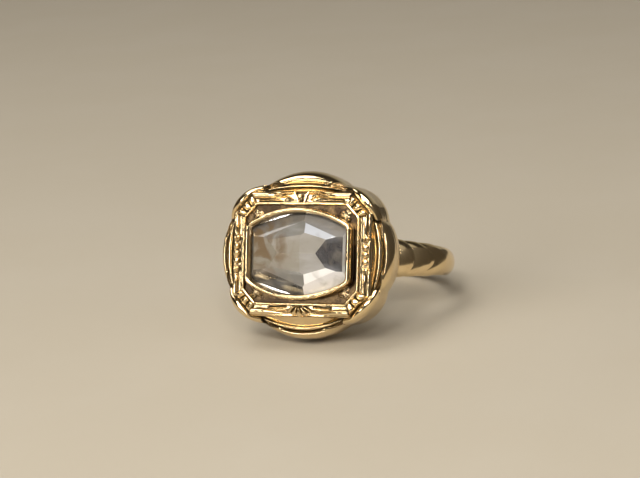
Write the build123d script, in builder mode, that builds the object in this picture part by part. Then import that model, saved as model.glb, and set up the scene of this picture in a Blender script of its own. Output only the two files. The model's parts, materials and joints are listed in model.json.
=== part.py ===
from build123d import *
import os
from math import atan, atan2, cos, degrees, hypot, radians, sin

os.makedirs("parts", exist_ok=True)

# A gold ring lying on its side. All sizes are in millimetres.
# Across the head, x runs from side to side and y along the finger; heights are counted along the
# head's normal from the crown of the thin octagonal wire, and anything behind it is negative.

# Finger hole and shank
finger_radius = 8.4
frame_level = 12.8
shank_thickness = 1.0
shank_half_width_back = 0.95
shank_half_width_shoulder = 1.57
shoulder_angle = 46
collar_end_angle = 57
scale_angles = (57, 71, 86)
shank_overlap = 0.4
shank_sections = 37
collar_swell = 0.1
scale_swell = 0.08

# Stone, its seat and the bezel. An outline is (half width, half height at the arch, half height at the side).
bezel_outer = (4.42, 3.70, 2.30)
bezel_inner = (4.12, 3.42, 2.08)
lip_opening = (3.83, 3.20, 1.97)
stone_outline = (4.10, 3.40, 2.06)
seat_opening = (3.50, 2.80, 1.60)
lip_underside = 0.62
lip_height = 0.94
stone_base = 0.0
stone_crown = 1.15
foil_thickness = 0.1

# Octagonal frame: the wire's half width and half height, and where its corners are cut
wire_half_width = 4.81
wire_half_height = 4.03
wire_side_cut = 2.89
wire_top_cut = 3.79
wire_spread = 0.08
roll_inner_spread = 0.36
roll_outer_spread = 0.88
frame_spread = 1.0
frame_base = -0.9
ground_level = -0.3
groove_level = -0.22
roll_level = 0.05
bead_radius = 0.32
bead_pitch = 0.58
bead_gap = 1.0
roll_chamfer = 0.1
flute_turns = (-56, -28, 0, 28, 56)
flute_half_length = 0.4
flute_half_width = 0.15
flute_rise = 0.37
palmette_foot = 0.12
palmette_gap = 1.15
rib_shares = (0.2, 0.5, 0.8)
rib_width_share = 0.2
leaf_radius = 0.2
leaf_centre = (3.76, 3.20)
leaf_turns = (-75, 45, 165)
leaf_height = 0.25

# Raised border: four lunettes of three nested steps each, and four corner lobes between them
upper_ends = (3.55, 3.40, 5.65)
upper_tops = (5.80, 6.15, 6.84)
side_ends = (2.85, 2.75, 6.50)
side_tops = (6.14, 6.62, 7.32)
step_levels = (-0.7, -1.1, -1.45)
lobe_radius = 3.15
lobe_centre = (3.30, 2.50)
lobe_level = -0.7
lobe_chamfer = 0.4
rim_level = -2.5

# Head behind the border
wall_bottom = -3.85
wall_cavity = (5.9, 5.1, 2.6)
under_top = (6.4, 5.6, 3.1)
under_bottom = (6.3, 2.0, 0.9)
under_wall = 0.45
under_depth = -7.0
back_plate_thickness = 0.4

# Lying pose: the lower edge of the head's wall and the back of the shank both touch the floor.
head_half_height = upper_tops[2]
slope = 0.3
for _ in range(20):
    back_reach = hypot(shank_half_width_back, shank_thickness * slope)
    slope = (head_half_height - back_reach) / (frame_level + wall_bottom + finger_radius)
lie = atan(slope)
bore_height = head_half_height * cos(lie) - (frame_level + wall_bottom) * sin(lie)
front_reach = bezel_outer[1] * sin(lie) + (frame_level + lip_height) * cos(lie)
rear_reach = finger_radius * cos(lie) + hypot(shank_half_width_back * sin(lie), shank_thickness * cos(lie))
bore_centre = Vector(0, (front_reach - rear_reach) / 2, bore_height)
finger_axis = Vector(0, sin(lie), cos(lie))
head_normal = Vector(0, -cos(lie), sin(lie))
outward = Axis((0, 0, 0), (head_normal.X, head_normal.Y, head_normal.Z))
across_finger = Plane(bore_centre, x_dir=(-1, 0, 0), z_dir=finger_axis)


# A plane across the head at a height counted from the wire's crown.
def level(height):
    return Plane(bore_centre + head_normal * (frame_level + height), x_dir=(1, 0, 0), z_dir=head_normal)


# The bezel's barrel outline: straight sides, arched top and bottom.
def barrel(half_width, arch, side):
    with BuildSketch() as outline:
        with BuildLine():
            ThreePointArc((-half_width, side), (0, arch), (half_width, side))
            Line((half_width, side), (half_width, -side))
            ThreePointArc((half_width, -side), (0, -arch), (-half_width, -side))
            Line((-half_width, -side), (-half_width, side))
        make_face()
    return outline.sketch


# The two corners of the octagon in its upper right quarter, pushed outward by a spread.
def octagon_corners(spread):
    cut = Vector(wire_half_height - wire_side_cut, wire_half_width - wire_top_cut).normalized()
    reach = cut.X * wire_half_width + cut.Y * wire_side_cut + spread
    side = (wire_half_width + spread, (reach - cut.X * (wire_half_width + spread)) / cut.Y)
    top = ((reach - cut.Y * (wire_half_height + spread)) / cut.X, wire_half_height + spread)
    return side, top


def octagon(spread):
    side, top = octagon_corners(spread)
    quarter = [side, top]
    left = [(-x, y) for x, y in reversed(quarter)]
    lower = [(-x, -y) for x, y in quarter + left]
    return quarter + left + lower


# A strip of the frame between two spreads, as the rail above the stone or the rail on its right.
def upper_strip(inner, outer):
    near = octagon_corners(inner)[1]
    far = octagon_corners(outer)[1]
    return [near, far, (-far[0], far[1]), (-near[0], near[1])]


def right_strip(inner, outer):
    near = octagon_corners(inner)[0]
    far = octagon_corners(outer)[0]
    return [near, far, (far[0], -far[1]), (near[0], -near[1])]


def corner_strip(inner, outer):
    side_in, top_in = octagon_corners(inner)
    side_out, top_out = octagon_corners(outer)
    return [side_in, side_out, top_out, top_in]


def mirrored(points, x_sign, y_sign):
    return [(x * x_sign, y * y_sign) for x, y in points]


# One step of a lunette above the stone: between the arc that starts at one share of the end line
# and the arc that starts at the next.
def lunette_step(base, ends, tops, index):
    start = Vector(ends[0], base)
    finish = Vector(ends[1], ends[2])
    crowns = (base,) + tops
    inner_end = start + (finish - start) * (index / 3)
    outer_end = start + (finish - start) * ((index + 1) / 3)
    with BuildSketch() as outline:
        with BuildLine():
            if index == 0:
                Line((-inner_end.X, inner_end.Y), (inner_end.X, inner_end.Y))
            else:
                inner_crown = (0, crowns[index])
                ThreePointArc((-inner_end.X, inner_end.Y), inner_crown, (inner_end.X, inner_end.Y))
            Line((inner_end.X, inner_end.Y), (outer_end.X, outer_end.Y))
            ThreePointArc((outer_end.X, outer_end.Y), (0, crowns[index + 1]), (-outer_end.X, outer_end.Y))
            Line((-outer_end.X, outer_end.Y), (-inner_end.X, inner_end.Y))
        make_face()
    return outline.sketch


# A corner lobe in the upper right quarter: between the frame's cut corner and the lobe's own arc.
def lobe_outline(x_sign, y_sign):
    side, top = octagon_corners(frame_spread)
    diagonal = lobe_radius * cos(radians(45))
    middle = (lobe_centre[0] + diagonal, lobe_centre[1] + diagonal)
    right_start = (side[0], side_ends[0])
    right_notch = (side_ends[2], side_ends[1])
    upper_notch = (upper_ends[1], upper_ends[2])
    upper_start = (upper_ends[0], top[1])
    with BuildSketch() as outline:
        with BuildLine():
            Polyline(upper_notch, upper_start, top, side, right_start, right_notch)
            ThreePointArc(right_notch, middle, upper_notch)
        make_face()
    shape = outline.sketch
    if x_sign < 0:
        shape = shape.mirror(Plane.YZ)
    if y_sign < 0:
        shape = shape.mirror(Plane.XZ)
    return shape


# The head's whole outline, lobes and lunettes together.
def head_outline():
    width = 2 * (lobe_centre[0] + lobe_radius)
    height = 2 * (lobe_centre[1] + lobe_radius)
    with BuildSketch() as outline:
        RectangleRounded(width, height, lobe_radius)
        for ends, crown, turn in lunette_arcs:
            with BuildLine(Plane.XY.rotated((0, 0, turn))):
                ThreePointArc((-ends[1], ends[2]), (0, crown), (ends[1], ends[2]))
                Polyline((ends[1], ends[2]), (ends[1], 1), (-ends[1], 1), (-ends[1], ends[2]))
            make_face()
    return outline.sketch


# The shank's half width at an angle from the head, measured round the finger.
def half_width(angle):
    away = (180 - angle) / (180 - shoulder_angle)
    return shank_half_width_back + (shank_half_width_shoulder - shank_half_width_back) * away**2


# A plane through the finger's axis at an angle from the head; its x runs along the finger, its y outward.
def radial_plane(angle):
    along = Vector(1, 0, 0) * cos(radians(angle)) - head_normal * sin(radians(angle))
    return Plane(bore_centre, x_dir=finger_axis, z_dir=along)


# A D-shaped section, carried a little inside the finger hole so that the hole can be cut through it.
def shank_section(width, thickness):
    inside = finger_radius - shank_overlap
    with BuildSketch() as outline:
        with BuildLine():
            EllipticalCenterArc((0, finger_radius), width, thickness, start_angle=0, arc_size=180)
            Polyline((-width, finger_radius), (-width, inside), (width, inside), (width, finger_radius))
        make_face()
    return outline.sketch


upper_base = wire_half_height + frame_spread
side_base = wire_half_width + frame_spread
lunette_arcs = (
    (upper_ends, upper_tops[2], 0),
    (side_ends, side_tops[2], 90),
    (upper_ends, upper_tops[2], 180),
    (side_ends, side_tops[2], 270),
)

# Stone: a flat-backed rose cut. Each facet is a plane that takes off what stands above it: four low
# main facets round the apex, a triangle at each side, and two rows of halves above and below.
apex_offset = 0.3
main_facet = (5, 0.0, 57)
side_facet = (21, 0.12, 1.85)
row_facets = ((17, 0.12, 1.45), (40, 0.42, 2.62))
row_turn = 9


# A facet's plane: the way it faces, its tilt, and a point on it below the crown.
def facet_plane(azimuth, tilt, x, y, drop):
    across = level(stone_crown - drop)
    turn = radians(azimuth)
    lean = sin(radians(tilt))
    sideways = across.x_dir * cos(turn) + across.y_dir * sin(turn)
    facing = sideways * lean + head_normal * cos(radians(tilt))
    return Plane(across.from_local_coords((x, y, 0)), z_dir=facing)


facets = []
for x_sign in (1, -1):
    tilt, drop, start = side_facet
    facets.append(facet_plane(90 - 90 * x_sign, tilt, apex_offset + x_sign * start, 0, drop))
    for y_sign in (1, -1):
        tilt, drop, turn = main_facet
        facets.append(facet_plane(y_sign * (90 - x_sign * (90 - turn)), tilt, apex_offset, 0, drop))
        for tilt, drop, start in row_facets:
            azimuth = y_sign * (90 - x_sign * row_turn)
            facets.append(facet_plane(azimuth, tilt, apex_offset, y_sign * start, drop))

with BuildPart() as stone:
    with BuildSketch(level(stone_base)):
        add(barrel(*stone_outline))
    extrude(amount=stone_crown - stone_base)
    for facet in facets:
        split(bisect_by=facet, keep=Keep.BOTTOM)
stone.part.label = "stone"
export_step(stone.part, "parts/stone.step")

# Foil under the stone, and the ledge that both rest on.
with BuildPart() as foil:
    with BuildSketch(level(stone_base - foil_thickness)):
        add(barrel(*stone_outline))
    extrude(amount=foil_thickness)
foil.part.label = "foil_backing"
export_step(foil.part, "parts/foil_backing.step")

with BuildPart() as seat:
    with BuildSketch(level(ground_level)):
        add(barrel(*bezel_inner))
        add(barrel(*seat_opening), mode=Mode.SUBTRACT)
    extrude(amount=stone_base - foil_thickness - ground_level)
seat.part.label = "stone_seat"
export_step(seat.part, "parts/stone_seat.step")

# Bezel: an upright wall whose lip is pressed in over the stone.
with BuildPart() as bezel:
    with BuildSketch(level(ground_level)):
        add(barrel(*bezel_outer))
        add(barrel(*bezel_inner), mode=Mode.SUBTRACT)
    extrude(amount=lip_underside - ground_level)
    with BuildSketch(level(lip_underside)):
        add(barrel(*bezel_outer))
        add(barrel(*lip_opening), mode=Mode.SUBTRACT)
    extrude(amount=lip_height - lip_underside)
bezel.part.label = "bezel"
export_step(bezel.part, "parts/bezel.step")

# Plate that closes the head's face, inside the octagonal wire.
with BuildPart() as face_plate:
    with BuildSketch(level(frame_base)):
        Polygon(*octagon(-wire_spread), align=None)
    extrude(amount=ground_level - frame_base)
face_plate.part.label = "face_plate"
export_step(face_plate.part, "parts/face_plate.step")

with BuildPart() as wire:
    with BuildSketch(level(frame_base)):
        Polygon(*octagon(wire_spread), align=None)
        Polygon(*octagon(-wire_spread), align=None, mode=Mode.SUBTRACT)
    extrude(amount=-frame_base)
wire.part.label = "octagonal_wire"
export_step(wire.part, "parts/octagonal_wire.step")

head_width = 2 * side_tops[2]

# Four rails: a grooved base with a raised roll that stops short of the ornament in its middle.
for name, strip, y_sign, x_sign, gap in (
    ("upper", upper_strip, 1, 1, (2 * palmette_gap, head_width)),
    ("lower", upper_strip, -1, 1, (2 * palmette_gap, head_width)),
    ("right", right_strip, 1, 1, (head_width, 2 * bead_gap)),
    ("left", right_strip, 1, -1, (head_width, 2 * bead_gap)),
):
    with BuildPart() as rail:
        with BuildSketch(level(frame_base)):
            Polygon(*mirrored(strip(wire_spread, frame_spread), x_sign, y_sign), align=None)
        extrude(amount=groove_level - frame_base)
        with BuildSketch(level(groove_level)):
            Polygon(*mirrored(strip(roll_inner_spread, roll_outer_spread), x_sign, y_sign), align=None)
            Rectangle(*gap, mode=Mode.SUBTRACT)
        extrude(amount=roll_level - groove_level)
        chamfer(rail.edges().group_by(outward)[-1], roll_chamfer)
    rail.part.label = f"rail_{name}"
    export_step(rail.part, f"parts/rail_{name}.step")

# Three granules in the middle of each side rail.
for name, x_sign in (("right", 1), ("left", -1)):
    roll_middle = wire_half_width + (roll_inner_spread + roll_outer_spread) / 2
    with BuildPart(level(groove_level)) as granules:
        with Locations(*[(x_sign * roll_middle, step * bead_pitch, 0) for step in (-1, 0, 1)]):
            Sphere(bead_radius, arc_size1=0, align=(Align.CENTER, Align.CENTER, Align.MIN))
    granules.part.label = f"granules_{name}"
    export_step(granules.part, f"parts/granules_{name}.step")

# A palmette of five flutes in the middle of the upper and of the lower rail.
foot = wire_half_height + palmette_foot
for name, y_sign in (("upper", 1), ("lower", -1)):
    with BuildPart() as palmette:
        with BuildSketch(level(groove_level)):
            for turn in flute_turns:
                x = -sin(radians(turn)) * flute_half_length
                y = y_sign * (foot + cos(radians(turn)) * flute_half_length)
                with Locations(Location((x, y, 0), (0, 0, y_sign * turn))):
                    Ellipse(flute_half_width, flute_half_length)
        extrude(amount=flute_rise)
    palmette.part.label = f"palmette_{name}"
    export_step(palmette.part, f"parts/palmette_{name}.step")

# Corner bars across the octagon's cut corners, with three ribs, and a trefoil leaf inside each.
quarters = (
    ("upper_right", 1, 1),
    ("upper_left", -1, 1),
    ("lower_left", -1, -1),
    ("lower_right", 1, -1),
)
inner_corners = [Vector(*corner) for corner in octagon_corners(wire_spread)]
outer_corners = [Vector(*corner) for corner in octagon_corners(frame_spread)]


# A rib across a corner bar, centred at a share of the way from the side rail to the upper rail.
def rib_outline(share):
    points = []
    for (start, end), part in (
        (inner_corners, share - rib_width_share / 2),
        (outer_corners, share - rib_width_share / 2),
        (outer_corners, share + rib_width_share / 2),
        (inner_corners, share + rib_width_share / 2),
    ):
        point = start + (end - start) * part
        points.append((point.X, point.Y))
    return points


for name, x_sign, y_sign in quarters:
    with BuildPart() as corner_bar:
        with BuildSketch(level(frame_base)):
            Polygon(*mirrored(corner_strip(wire_spread, frame_spread), x_sign, y_sign), align=None)
        extrude(amount=groove_level - frame_base)
        with BuildSketch(level(groove_level)):
            for share in rib_shares:
                Polygon(*mirrored(rib_outline(share), x_sign, y_sign), align=None)
        extrude(amount=roll_level - groove_level)
    corner_bar.part.label = f"corner_bar_{name}"
    export_step(corner_bar.part, f"parts/corner_bar_{name}.step")

    with BuildPart() as leaf:
        with BuildSketch(level(ground_level)):
            for turn in leaf_turns:
                x = leaf_centre[0] + leaf_radius * cos(radians(turn))
                y = leaf_centre[1] + leaf_radius * sin(radians(turn))
                with Locations((x_sign * x, y_sign * y)):
                    Circle(leaf_radius)
        extrude(amount=leaf_height)
    leaf.part.label = f"leaf_{name}"
    export_step(leaf.part, f"parts/leaf_{name}.step")

    with BuildPart() as lobe:
        with BuildSketch(level(rim_level)):
            add(lobe_outline(x_sign, y_sign))
        extrude(amount=lobe_level - rim_level)
        chamfer(lobe.edges().group_by(outward)[-1].filter_by(GeomType.CIRCLE), lobe_chamfer)
    lobe.part.label = f"lobe_{name}"
    export_step(lobe.part, f"parts/lobe_{name}.step")

# Lunettes: three nested steps on each side, each lower than the one inside it.
step_names = ("lunette_inner", "lunette_middle", "lunette_outer")
for side_name, turn in (("upper", 0), ("left", 90), ("lower", 180), ("right", 270)):
    long_side = side_name in ("upper", "lower")
    base = upper_base if long_side else side_base
    ends = upper_ends if long_side else side_ends
    tops = upper_tops if long_side else side_tops
    for index, (step_name, step_level) in enumerate(zip(step_names, step_levels)):
        with BuildPart() as lunette:
            with BuildSketch(level(rim_level)):
                add(lunette_step(base, ends, tops, index).rotate(Axis.Z, turn))
            extrude(amount=step_level - rim_level)
        lunette.part.label = f"{step_name}_{side_name}"
        export_step(lunette.part, f"parts/{step_name}_{side_name}.step")

# Side wall of the head, under the lobes and lunettes.
with BuildPart() as wall:
    with BuildSketch(level(wall_bottom)):
        add(head_outline())
        RectangleRounded(2 * wall_cavity[0], 2 * wall_cavity[1], wall_cavity[2], mode=Mode.SUBTRACT)
    extrude(amount=rim_level - wall_bottom)
wall.part.label = "head_wall"
export_step(wall.part, "parts/head_wall.step")


# Everything within the shoulder angle of the head, between two radii round the finger.
def finger_wedge(inner, outer):
    far = 2 * outer
    with BuildSketch() as outline:
        Circle(outer)
        if inner:
            Circle(inner, mode=Mode.SUBTRACT)
        half = radians(shoulder_angle)
        corner = (far * sin(half), far * cos(half))
        Polygon((0, 0), corner, (-corner[0], corner[1]), align=None, mode=Mode.INTERSECT)
    return outline.sketch


with BuildPart() as finger_hole:
    with BuildSketch(across_finger):
        Circle(finger_radius)
    extrude(amount=head_width, both=True)


# A tapering body behind the head, from the wall's lower edge towards the shank.
def under_body(inset):
    with BuildPart() as body:
        for height, (width, depth, corner) in ((wall_bottom, under_top), (under_depth, under_bottom)):
            with BuildSketch(level(height)):
                RectangleRounded(2 * (width - inset), 2 * (depth - inset), corner - inset)
        loft()
    return body.part


back_outer_radius = finger_radius + back_plate_thickness
with BuildPart() as under:
    add(under_body(0))
    add(under_body(under_wall), mode=Mode.SUBTRACT)
    with BuildSketch(across_finger):
        add(finger_wedge(back_outer_radius, frame_level))
    extrude(amount=head_width, both=True, mode=Mode.INTERSECT)
under.part.label = "head_underside"
export_step(under.part, "parts/head_underside.step")

with BuildPart() as back_plate:
    add(under_body(0))
    with BuildSketch(across_finger):
        add(finger_wedge(finger_radius, back_outer_radius))
    extrude(amount=head_width, both=True, mode=Mode.INTERSECT)
back_plate.part.label = "head_back_plate"
export_step(back_plate.part, "parts/head_back_plate.step")

# Plain convex collars where the shank leaves the head.
for name, side in (("right", 1), ("left", -1)):
    middle_angle = (shoulder_angle + collar_end_angle) / 2
    with BuildPart() as collar:
        for angle, swell in ((shoulder_angle, 0), (middle_angle, collar_swell), (collar_end_angle, 0)):
            with BuildSketch(radial_plane(side * angle)):
                add(shank_section(half_width(angle) + swell / 2, shank_thickness + swell))
        loft()
        add(finger_hole.part, mode=Mode.SUBTRACT)
    collar.part.label = f"shoulder_collar_{name}"
    export_step(collar.part, f"parts/shoulder_collar_{name}.step")

# Shank: a plain tapering band with two carved scales on each shoulder.
plain_start = scale_angles[2]
with BuildPart() as shank:
    for index in range(shank_sections):
        angle = plain_start + (360 - 2 * plain_start) * index / (shank_sections - 1)
        folded = angle if angle <= 180 else 360 - angle
        with BuildSketch(radial_plane(angle)):
            add(shank_section(half_width(folded), shank_thickness))
    loft(ruled=True)
    for side in (1, -1):
        for start, end in zip(scale_angles[:2], scale_angles[1:]):
            peak = start + (end - start) * 0.3
            with BuildPart(mode=Mode.PRIVATE) as scale:
                for angle, swell in ((start, -scale_swell), (peak, scale_swell), (end, 0)):
                    with BuildSketch(radial_plane(side * angle)):
                        add(shank_section(half_width(angle) + swell / 2, shank_thickness + swell))
                loft()
            add(scale.part)
    add(finger_hole.part, mode=Mode.SUBTRACT)
shank.part.label = "shank"
export_step(shank.part, "parts/shank.step")
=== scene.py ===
import json
from math import asin, cos, exp, pi, radians, sin, sqrt

import bmesh
import bpy
from mathutils import Matrix, Vector, noise


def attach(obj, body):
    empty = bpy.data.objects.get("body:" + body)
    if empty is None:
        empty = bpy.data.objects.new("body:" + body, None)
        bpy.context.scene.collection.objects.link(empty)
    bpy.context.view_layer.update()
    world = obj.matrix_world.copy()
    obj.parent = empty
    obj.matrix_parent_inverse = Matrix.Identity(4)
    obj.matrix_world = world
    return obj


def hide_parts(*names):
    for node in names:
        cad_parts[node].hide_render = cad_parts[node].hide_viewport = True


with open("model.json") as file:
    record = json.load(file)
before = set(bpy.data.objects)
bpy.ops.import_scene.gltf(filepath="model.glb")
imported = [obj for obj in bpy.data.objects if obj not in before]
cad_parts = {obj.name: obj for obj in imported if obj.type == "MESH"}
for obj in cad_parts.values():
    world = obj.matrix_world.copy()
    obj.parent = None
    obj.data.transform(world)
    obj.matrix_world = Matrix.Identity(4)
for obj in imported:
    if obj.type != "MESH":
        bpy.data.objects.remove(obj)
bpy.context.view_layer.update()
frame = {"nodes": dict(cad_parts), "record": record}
print("frame loaded:", len(frame["nodes"]), "nodes")

# The head's own space is in millimetres: x across the head, y along the finger, z out of the head,
# with z = 0 at the crown of the octagonal wire.
mm = 0.001
head = {"wireLevel": 12.8, "fingerRadius": 8.4, "rimLevel": -2.5, "groundLevel": -0.3}

bore = frame["record"]["mounts"][0]
fingerAxis = Vector(bore["axis"]).normalized()
acrossAxis = Vector((1, 0, 0))
headNormal = acrossAxis.cross(fingerAxis)
headCentre = Vector(bore["pos_m"]) + headNormal * (head["wireLevel"] * mm)
headTurn = Matrix((acrossAxis, fingerAxis, headNormal)).transposed().to_4x4()
headToRow = Matrix.Translation(headCentre) @ headTurn @ Matrix.Scale(mm, 4)
mergeDistance = 0.0004


class Value:
    # a node's output that can be used in sums
    def __init__(self, sheet, socket):
        self.sheet = sheet
        self.socket = socket

    def worked(self, operation, first, second):
        return self.sheet.node("ShaderNodeMath", {"operation": operation}, {0: first, 1: second})

    def __add__(self, other):
        return self.worked("ADD", self, other)

    def __radd__(self, other):
        return self.worked("ADD", other, self)

    def __sub__(self, other):
        return self.worked("SUBTRACT", self, other)

    def __rsub__(self, other):
        return self.worked("SUBTRACT", other, self)

    def __mul__(self, other):
        return self.worked("MULTIPLY", self, other)

    def __rmul__(self, other):
        return self.worked("MULTIPLY", other, self)


class NodeSheet:
    # a tree of nodes being laid out
    def __init__(self, tree):
        self.tree = tree

    def node(self, kind, settings=None, inputs=None, output=0):
        made = self.tree.nodes.new(kind)
        for key, value in (settings or {}).items():
            if key == "stops":
                ramp = made.color_ramp
                while len(ramp.elements) < len(value):
                    ramp.elements.new(0.5)
                for element, (place, colour) in zip(ramp.elements, value):
                    element.position = place
                    element.color = (*colour, 1)
            else:
                setattr(made, key, value)
        for key, value in (inputs or {}).items():
            if isinstance(value, Value):
                self.tree.links.new(value.socket, made.inputs[key])
            else:
                made.inputs[key].default_value = value
        return Value(self, made.outputs[output])


class Finish(NodeSheet):
    # a material under construction
    def __init__(self, name):
        self.material = bpy.data.materials.new(name)
        self.material.use_nodes = True
        super().__init__(self.material.node_tree)
        self.tree.nodes.clear()

    def place(self):
        return self.node("ShaderNodeTexCoord", output="Object")

    def mixed(self, share, first, second):
        settings = {"data_type": "RGBA"}
        return self.node("ShaderNodeMix", settings, {0: share, 6: first, 7: second}, output=2)

    def grain(self, scale, detail=3, distortion=0.0, stretch=None):
        spot = self.place()
        if stretch:
            spot = self.node("ShaderNodeMapping", {}, {"Vector": spot, "Scale": stretch})
        inputs = {"Vector": spot, "Scale": scale, "Detail": detail, "Distortion": distortion}
        return self.node("ShaderNodeTexNoise", {}, inputs)

    def limited(self, value, low, high):
        # 0 below low, 1 above high, eased between; low may be the larger one
        inputs = {"Value": value, "From Min": low, "From Max": high}
        return self.node("ShaderNodeMapRange", {"interpolation_type": "SMOOTHSTEP"}, inputs)

    def surface(self, inputs):
        # the shader and the material's output
        shader = self.node("ShaderNodeBsdfPrincipled", {}, inputs)
        ending = self.tree.nodes.new("ShaderNodeOutputMaterial")
        self.tree.links.new(shader.socket, ending.inputs["Surface"])
        return self.material

    def relief(self, strength, depth, height):
        return self.node("ShaderNodeBump", {}, {"Strength": strength, "Distance": depth, "Height": height})


goldTones = {
    "bright": (0.91, 0.725, 0.43, 1),
    "warm": (0.76, 0.56, 0.31, 1),
    "copper": (0.56, 0.37, 0.22, 1),
    "patina": (0.075, 0.048, 0.026, 1),
    "cloudScale": 420,
    "fleckScale": 2600,
    "scratchScale": 5200,
    "wearScale": 1500,
    "hollowSize": 0.0005,
    "hollowLimits": (0.28, 0.85),
    "reliefStrength": 0.25,
    "reliefDepth": 0.000012,
}


def goldFinish(name, patinaShare=0.9, roughness=0.13, pitting=0.25, age=0.0):
    # bright gold with warmer clouds and copper flecks, and patina where the hollows are
    finish = Finish(name)
    reach = {"Distance": goldTones["hollowSize"]}
    openness = finish.node("ShaderNodeAmbientOcclusion", {"samples": 8}, reach, output="AO")
    hollow = finish.limited(1 - openness, *goldTones["hollowLimits"])
    cloud = finish.limited(finish.grain(goldTones["cloudScale"], detail=4, distortion=0.4), 0.42, 0.68)
    fleck = finish.limited(finish.grain(goldTones["fleckScale"], detail=5), 0.56, 0.72)
    tone = finish.mixed(cloud * 0.45, goldTones["bright"], goldTones["warm"])
    tone = finish.mixed(fleck * 0.18 + cloud * age, tone, goldTones["copper"])
    tone = finish.mixed(hollow * patinaShare * (1 - age) + age, tone, goldTones["patina"])
    scratches = finish.grain(goldTones["scratchScale"], detail=2, stretch=(1.0, 0.12, 1.0))
    wear = finish.grain(goldTones["wearScale"], detail=4)
    rough = cloud * 0.07 + fleck * 0.08 + hollow * 0.3 + (roughness - 0.02)
    height = scratches * 0.35 + wear * 0.65 + fleck * pitting
    relief = finish.relief(goldTones["reliefStrength"], goldTones["reliefDepth"], height)
    return finish.surface({"Base Color": tone, "Metallic": 1.0, "Roughness": rough, "Normal": relief})


groundTones = {
    "deep": (0.028, 0.017, 0.008, 1),
    "worn": (0.24, 0.16, 0.08, 1),
    "pit": (0.02, 0.012, 0.007, 1),
    "pitScale": 6200,
    "pitShare": 0.4,
    "cloudScale": 900,
    "metallic": 0.9,
    "roughness": 0.24,
}


def groundFinish(name):
    # sunken ground between the bezel and the wire, brown with age and worn bright in places
    finish = Finish(name)
    spread = {"Vector": finish.place(), "Scale": groundTones["pitScale"]}
    dots = finish.node("ShaderNodeTexVoronoi", {}, spread)
    pits = finish.limited(dots, 0.1, 0.55)
    cloud = finish.limited(finish.grain(groundTones["cloudScale"], detail=5), 0.45, 0.7)
    tone = finish.mixed(cloud, groundTones["deep"], groundTones["worn"])
    tone = finish.mixed(pits * groundTones["pitShare"], tone, groundTones["pit"])
    relief = finish.relief(0.2, 0.00002, pits * 0.6 + cloud)
    rough = cloud * 0.12 + groundTones["roughness"]
    metallic = groundTones["metallic"]
    return finish.surface({"Base Color": tone, "Metallic": metallic, "Roughness": rough, "Normal": relief})


stoneTones = {
    "veil": (0.25, 0.225, 0.185, 1),
    "veilShares": (0.40, 0.12),
    # the streak colour is a painted reflection, a bright sheen mixed into the stone's colour
    "paintedStreak": (0.74, 0.76, 0.80, 1),
    "paintedStreakShare": 0.12,
    "stain": (0.15, 0.095, 0.045, 1),
    "stainShare": 0.8,
    "stainSpot": (-2.7, 0.9, 0.9),
    "stainReach": (0.0040, 0.0020),
    "clear": {"IOR": 1.6, "Transmission Weight": 0.3},
}


def stoneFinish(name):
    # clear, a little milky, each facet with its own painted reflection: foil light and lamp highlights
    # painted into its base colour
    finish = Finish(name)
    paintedGleam = finish.node("ShaderNodeAttribute", {"attribute_name": "facetGleam"}, output="Color")
    veil = finish.limited(finish.grain(420, detail=5, distortion=1.4), 0.45, 0.72)
    # painted reflection: stretched bright streaks in the stone's colour, also a little rougher there
    paintedStreak = finish.limited(finish.grain(900, detail=4, stretch=(0.35, 1.0, 1.0)), 0.45, 0.7)
    reach = finish.node(
        "ShaderNodeVectorMath",
        {"operation": "DISTANCE"},
        {0: finish.place(), 1: headToRow @ Vector(stoneTones["stainSpot"])},
        output="Value",
    )
    ragged = finish.grain(700, detail=4, distortion=1.0) * 0.0020
    near = finish.limited(reach + ragged, *stoneTones["stainReach"])
    stain = near * finish.limited(finish.grain(560, detail=4, distortion=1.6), 0.38, 0.58)
    veilGain, veilLeast = stoneTones["veilShares"]
    # painted reflection: the facets' colour under the veil stands in for light from the foil and the lamps
    tint = finish.mixed(veil * veilGain + veilLeast, paintedGleam, stoneTones["veil"])
    tint = finish.mixed(paintedStreak * stoneTones["paintedStreakShare"], tint, stoneTones["paintedStreak"])
    tint = finish.mixed(stain * stoneTones["stainShare"], tint, stoneTones["stain"])
    scratches = finish.grain(3500, detail=2, stretch=(1.0, 0.2, 1.0))
    relief = finish.relief(0.05, 0.00001, scratches)
    rough = paintedStreak * 0.06 + 0.02
    return finish.surface({"Base Color": tint, "Roughness": rough, "Normal": relief, **stoneTones["clear"]})


foilTones = {"silver": (0.74, 0.75, 0.78, 1), "tarnish": (0.42, 0.34, 0.24, 1), "tarnishShare": 0.65}


def foilFinish(name):
    # silvery foil, creased, with clouds of brown tarnish
    finish = Finish(name)
    stain = finish.limited(finish.grain(330, detail=4, distortion=0.8), 0.55, 0.72)
    crease = finish.grain(1100, detail=5, distortion=1.5, stretch=(1.0, 1.0, 0.4))
    tone = finish.mixed(stain * foilTones["tarnishShare"], foilTones["silver"], foilTones["tarnish"])
    relief = finish.relief(0.8, 0.00006, crease)
    rough = stain * 0.2 + 0.2
    return finish.surface({"Base Color": tone, "Metallic": 1.0, "Roughness": rough, "Normal": relief})


polished = goldFinish("goldPolished")
chased = goldFinish("goldChased", patinaShare=1.0, roughness=0.16, pitting=0.5)
worn = goldFinish("goldWorn", patinaShare=0.6, roughness=0.17, pitting=0.4)
aged = goldFinish("goldAged", patinaShare=0.8, roughness=0.24, pitting=0.5, age=0.6)
ground = groundFinish("goldGround")
stoneMaterial = stoneFinish("stoneClear")
foilMaterial = foilFinish("foilSilver")
print("materials made")


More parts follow.
